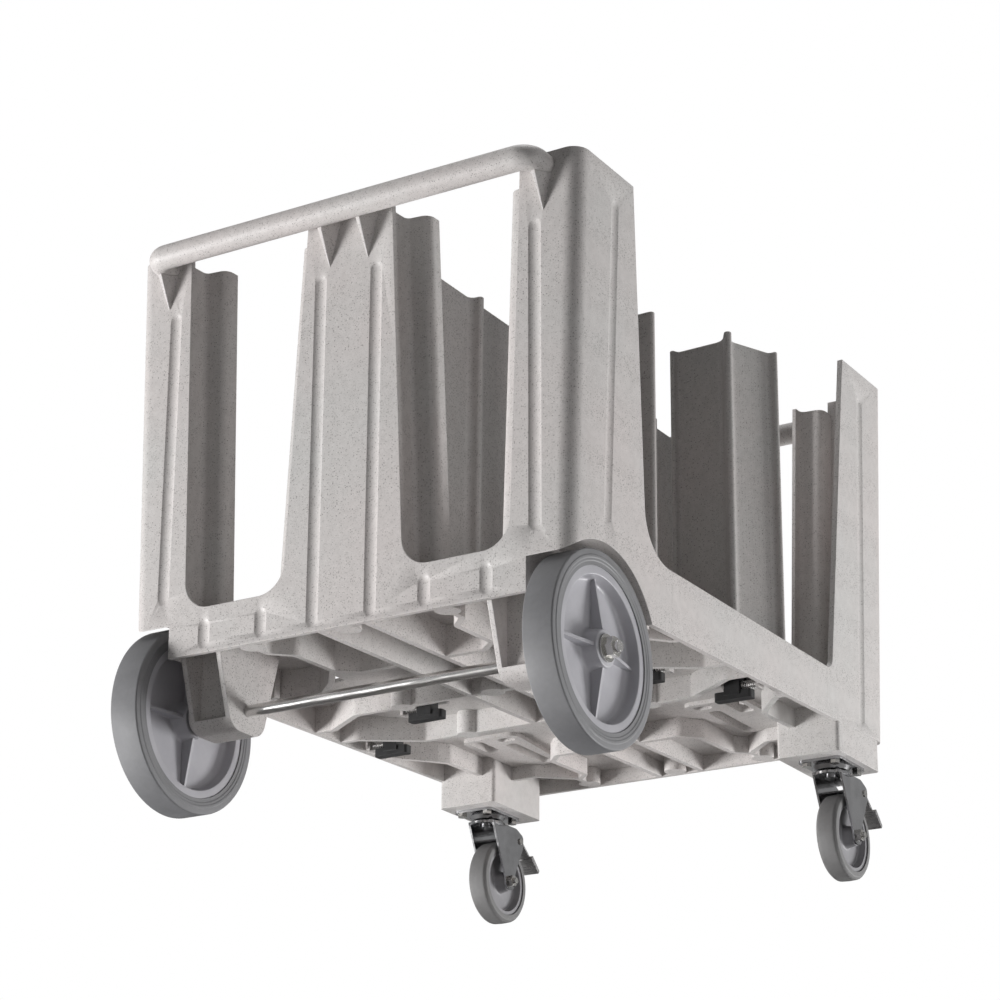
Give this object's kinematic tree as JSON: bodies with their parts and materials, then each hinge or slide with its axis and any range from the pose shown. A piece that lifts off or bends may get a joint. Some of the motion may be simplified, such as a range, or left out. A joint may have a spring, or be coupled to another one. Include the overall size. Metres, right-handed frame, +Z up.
{
  "type": "plate dispenser cart",
  "caption": "Wheeled dish dispenser cart with open end windows, low sides, push handles, latched sliding plate towers, fixed rear wheels and braked swivel casters.",
  "frame": {"origin": "on the floor under the middle of the cart", "axes": "+X across the cart to its right-hand long side, +Y along the cart towards the swivel casters, +Z up"},
  "size_m": [0.722, 1.05, 0.781],
  "materials": {
    "tub_plastic": "speckled satin moulding",
    "tower_plastic": "speckled satin moulding",
    "latch_plastic": "black satin",
    "spring_steel": "bright wire",
    "axle_steel": "drawn bar",
    "hub_steel": "bright plated",
    "wheel_core": "grey satin",
    "wheel_rubber": "grey, fine turned grooves",
    "caster_core": "grey satin",
    "caster_rubber": "grey",
    "caster_steel": "bright plated",
    "pedal_steel": "bright plated"
  },
  "bodies": {
    "tub": {"axle_leg_left": "tub_plastic", "axle_leg_right": "tub_plastic", "axle_nuts": "hub_steel", "axle_washers": "hub_steel", "caster_block_left": "tub_plastic", "caster_block_right": "tub_plastic", "caster_bolts_left": "caster_steel", "caster_bolts_right": "caster_steel", "caster_plate_left": "caster_steel", "caster_plate_right": "caster_steel", "centre_post_front": "tower_plastic", "centre_post_rear": "tower_plastic", "deck": "tub_plastic", "front_handle": "tub_plastic", "front_wall": "tub_plastic", "rear_axle": "axle_steel", "rear_handle": "tub_plastic", "rear_wall": "tub_plastic", "rib_grid": "tub_plastic", "side_wall_left": "tub_plastic", "side_wall_right": "tub_plastic", "wheel_housing_left": "tub_plastic", "wheel_housing_right": "tub_plastic"},
    "tower_a": {"tower_a_post": "tower_plastic", "tower_a_keeper": "tower_plastic", "tower_a_spring": "spring_steel"},
    "latch_a": {"tower_a_latch": "latch_plastic"},
    "tower_b": {"tower_b_post": "tower_plastic", "tower_b_keeper": "tower_plastic", "tower_b_spring": "spring_steel"},
    "latch_b": {"tower_b_latch": "latch_plastic"},
    "tower_c": {"tower_c_post": "tower_plastic", "tower_c_keeper": "tower_plastic", "tower_c_spring": "spring_steel"},
    "latch_c": {"tower_c_latch": "latch_plastic"},
    "tower_d": {"tower_d_post": "tower_plastic", "tower_d_keeper": "tower_plastic", "tower_d_spring": "spring_steel"},
    "latch_d": {"tower_d_latch": "latch_plastic"},
    "rear_wheel_left": {"rear_tyre_left": "wheel_rubber", "rear_core_left": "wheel_core"},
    "caster_left": {"caster_fork_left": "caster_steel", "caster_axle_left": "caster_steel"},
    "caster_wheel_left": {"caster_tyre_left": "caster_rubber", "caster_core_left": "caster_core"},
    "brake_left": {"brake_pedal_left": "pedal_steel"},
    "rear_wheel_right": {"rear_tyre_right": "wheel_rubber", "rear_core_right": "wheel_core"},
    "caster_right": {"caster_fork_right": "caster_steel", "caster_axle_right": "caster_steel"},
    "caster_wheel_right": {"caster_tyre_right": "caster_rubber", "caster_core_right": "caster_core"},
    "brake_right": {"brake_pedal_right": "pedal_steel"}
  },
  "joints": [
    {"name": "rear_wheel_left_turn", "type": "hinge", "parent": "tub", "child": "rear_wheel_left", "pos_m": [-0.316, -0.378, 0.127], "axis": [1, 0, 0], "continuous": true},
    {"name": "caster_left_swivel", "type": "hinge", "parent": "tub", "child": "caster_left", "pos_m": [-0.296, 0.371, 0.1], "axis": [0, 0, 1], "continuous": true},
    {"name": "caster_left_roll", "type": "hinge", "parent": "caster_left", "child": "caster_wheel_left", "pos_m": [-0.296, 0.403, 0.0635], "axis": [1, 0, 0], "continuous": true},
    {"name": "brake_left_press", "type": "hinge", "parent": "caster_left", "child": "brake_left", "pos_m": [-0.296, 0.433, 0.1334], "axis": [1, 0, 0], "range_deg": [-10, 0]},
    {"name": "rear_wheel_right_turn", "type": "hinge", "parent": "tub", "child": "rear_wheel_right", "pos_m": [0.316, -0.378, 0.127], "axis": [1, 0, 0], "continuous": true},
    {"name": "caster_right_swivel", "type": "hinge", "parent": "tub", "child": "caster_right", "pos_m": [0.296, 0.371, 0.1], "axis": [0, 0, 1], "continuous": true},
    {"name": "caster_right_roll", "type": "hinge", "parent": "caster_right", "child": "caster_wheel_right", "pos_m": [0.296, 0.403, 0.0635], "axis": [1, 0, 0], "continuous": true},
    {"name": "brake_right_press", "type": "hinge", "parent": "caster_right", "child": "brake_right", "pos_m": [0.296, 0.433, 0.1334], "axis": [1, 0, 0], "range_deg": [-10, 0]},
    {"name": "tower_a_slide", "type": "slide", "parent": "tub", "child": "tower_a", "axis": [0.5299, -0.848, 0], "range_m": [-0.08, 0.002]},
    {"name": "latch_a_press", "type": "slide", "parent": "tower_a", "child": "latch_a", "axis": [1, 0, 0], "range_m": [0, 0.007], "stiffness_N_per_m": 600, "springref_m": -0.006, "deforming": ["tower_a_spring"]},
    {"name": "tower_b_slide", "type": "slide", "parent": "tub", "child": "tower_b", "axis": [-1, 0, 0], "range_m": [-0.066, 0.076]},
    {"name": "latch_b_press", "type": "slide", "parent": "tower_b", "child": "latch_b", "axis": [-1, 0, 0], "range_m": [0, 0.007], "stiffness_N_per_m": 600, "springref_m": -0.006, "deforming": ["tower_b_spring"]},
    {"name": "tower_c_slide", "type": "slide", "parent": "tub", "child": "tower_c", "axis": [-0.5299, -0.848, 0], "range_m": [-0.08, 0.002]},
    {"name": "latch_c_press", "type": "slide", "parent": "tower_c", "child": "latch_c", "axis": [-1, 0, 0], "range_m": [0, 0.007], "stiffness_N_per_m": 600, "springref_m": -0.006, "deforming": ["tower_c_spring"]},
    {"name": "tower_d_slide", "type": "slide", "parent": "tub", "child": "tower_d", "axis": [1, 0, 0], "range_m": [-0.138, 0.003]},
    {"name": "latch_d_press", "type": "slide", "parent": "tower_d", "child": "latch_d", "axis": [1, 0, 0], "range_m": [0, 0.007], "stiffness_N_per_m": 600, "springref_m": -0.006, "deforming": ["tower_d_spring"]}
  ]
}
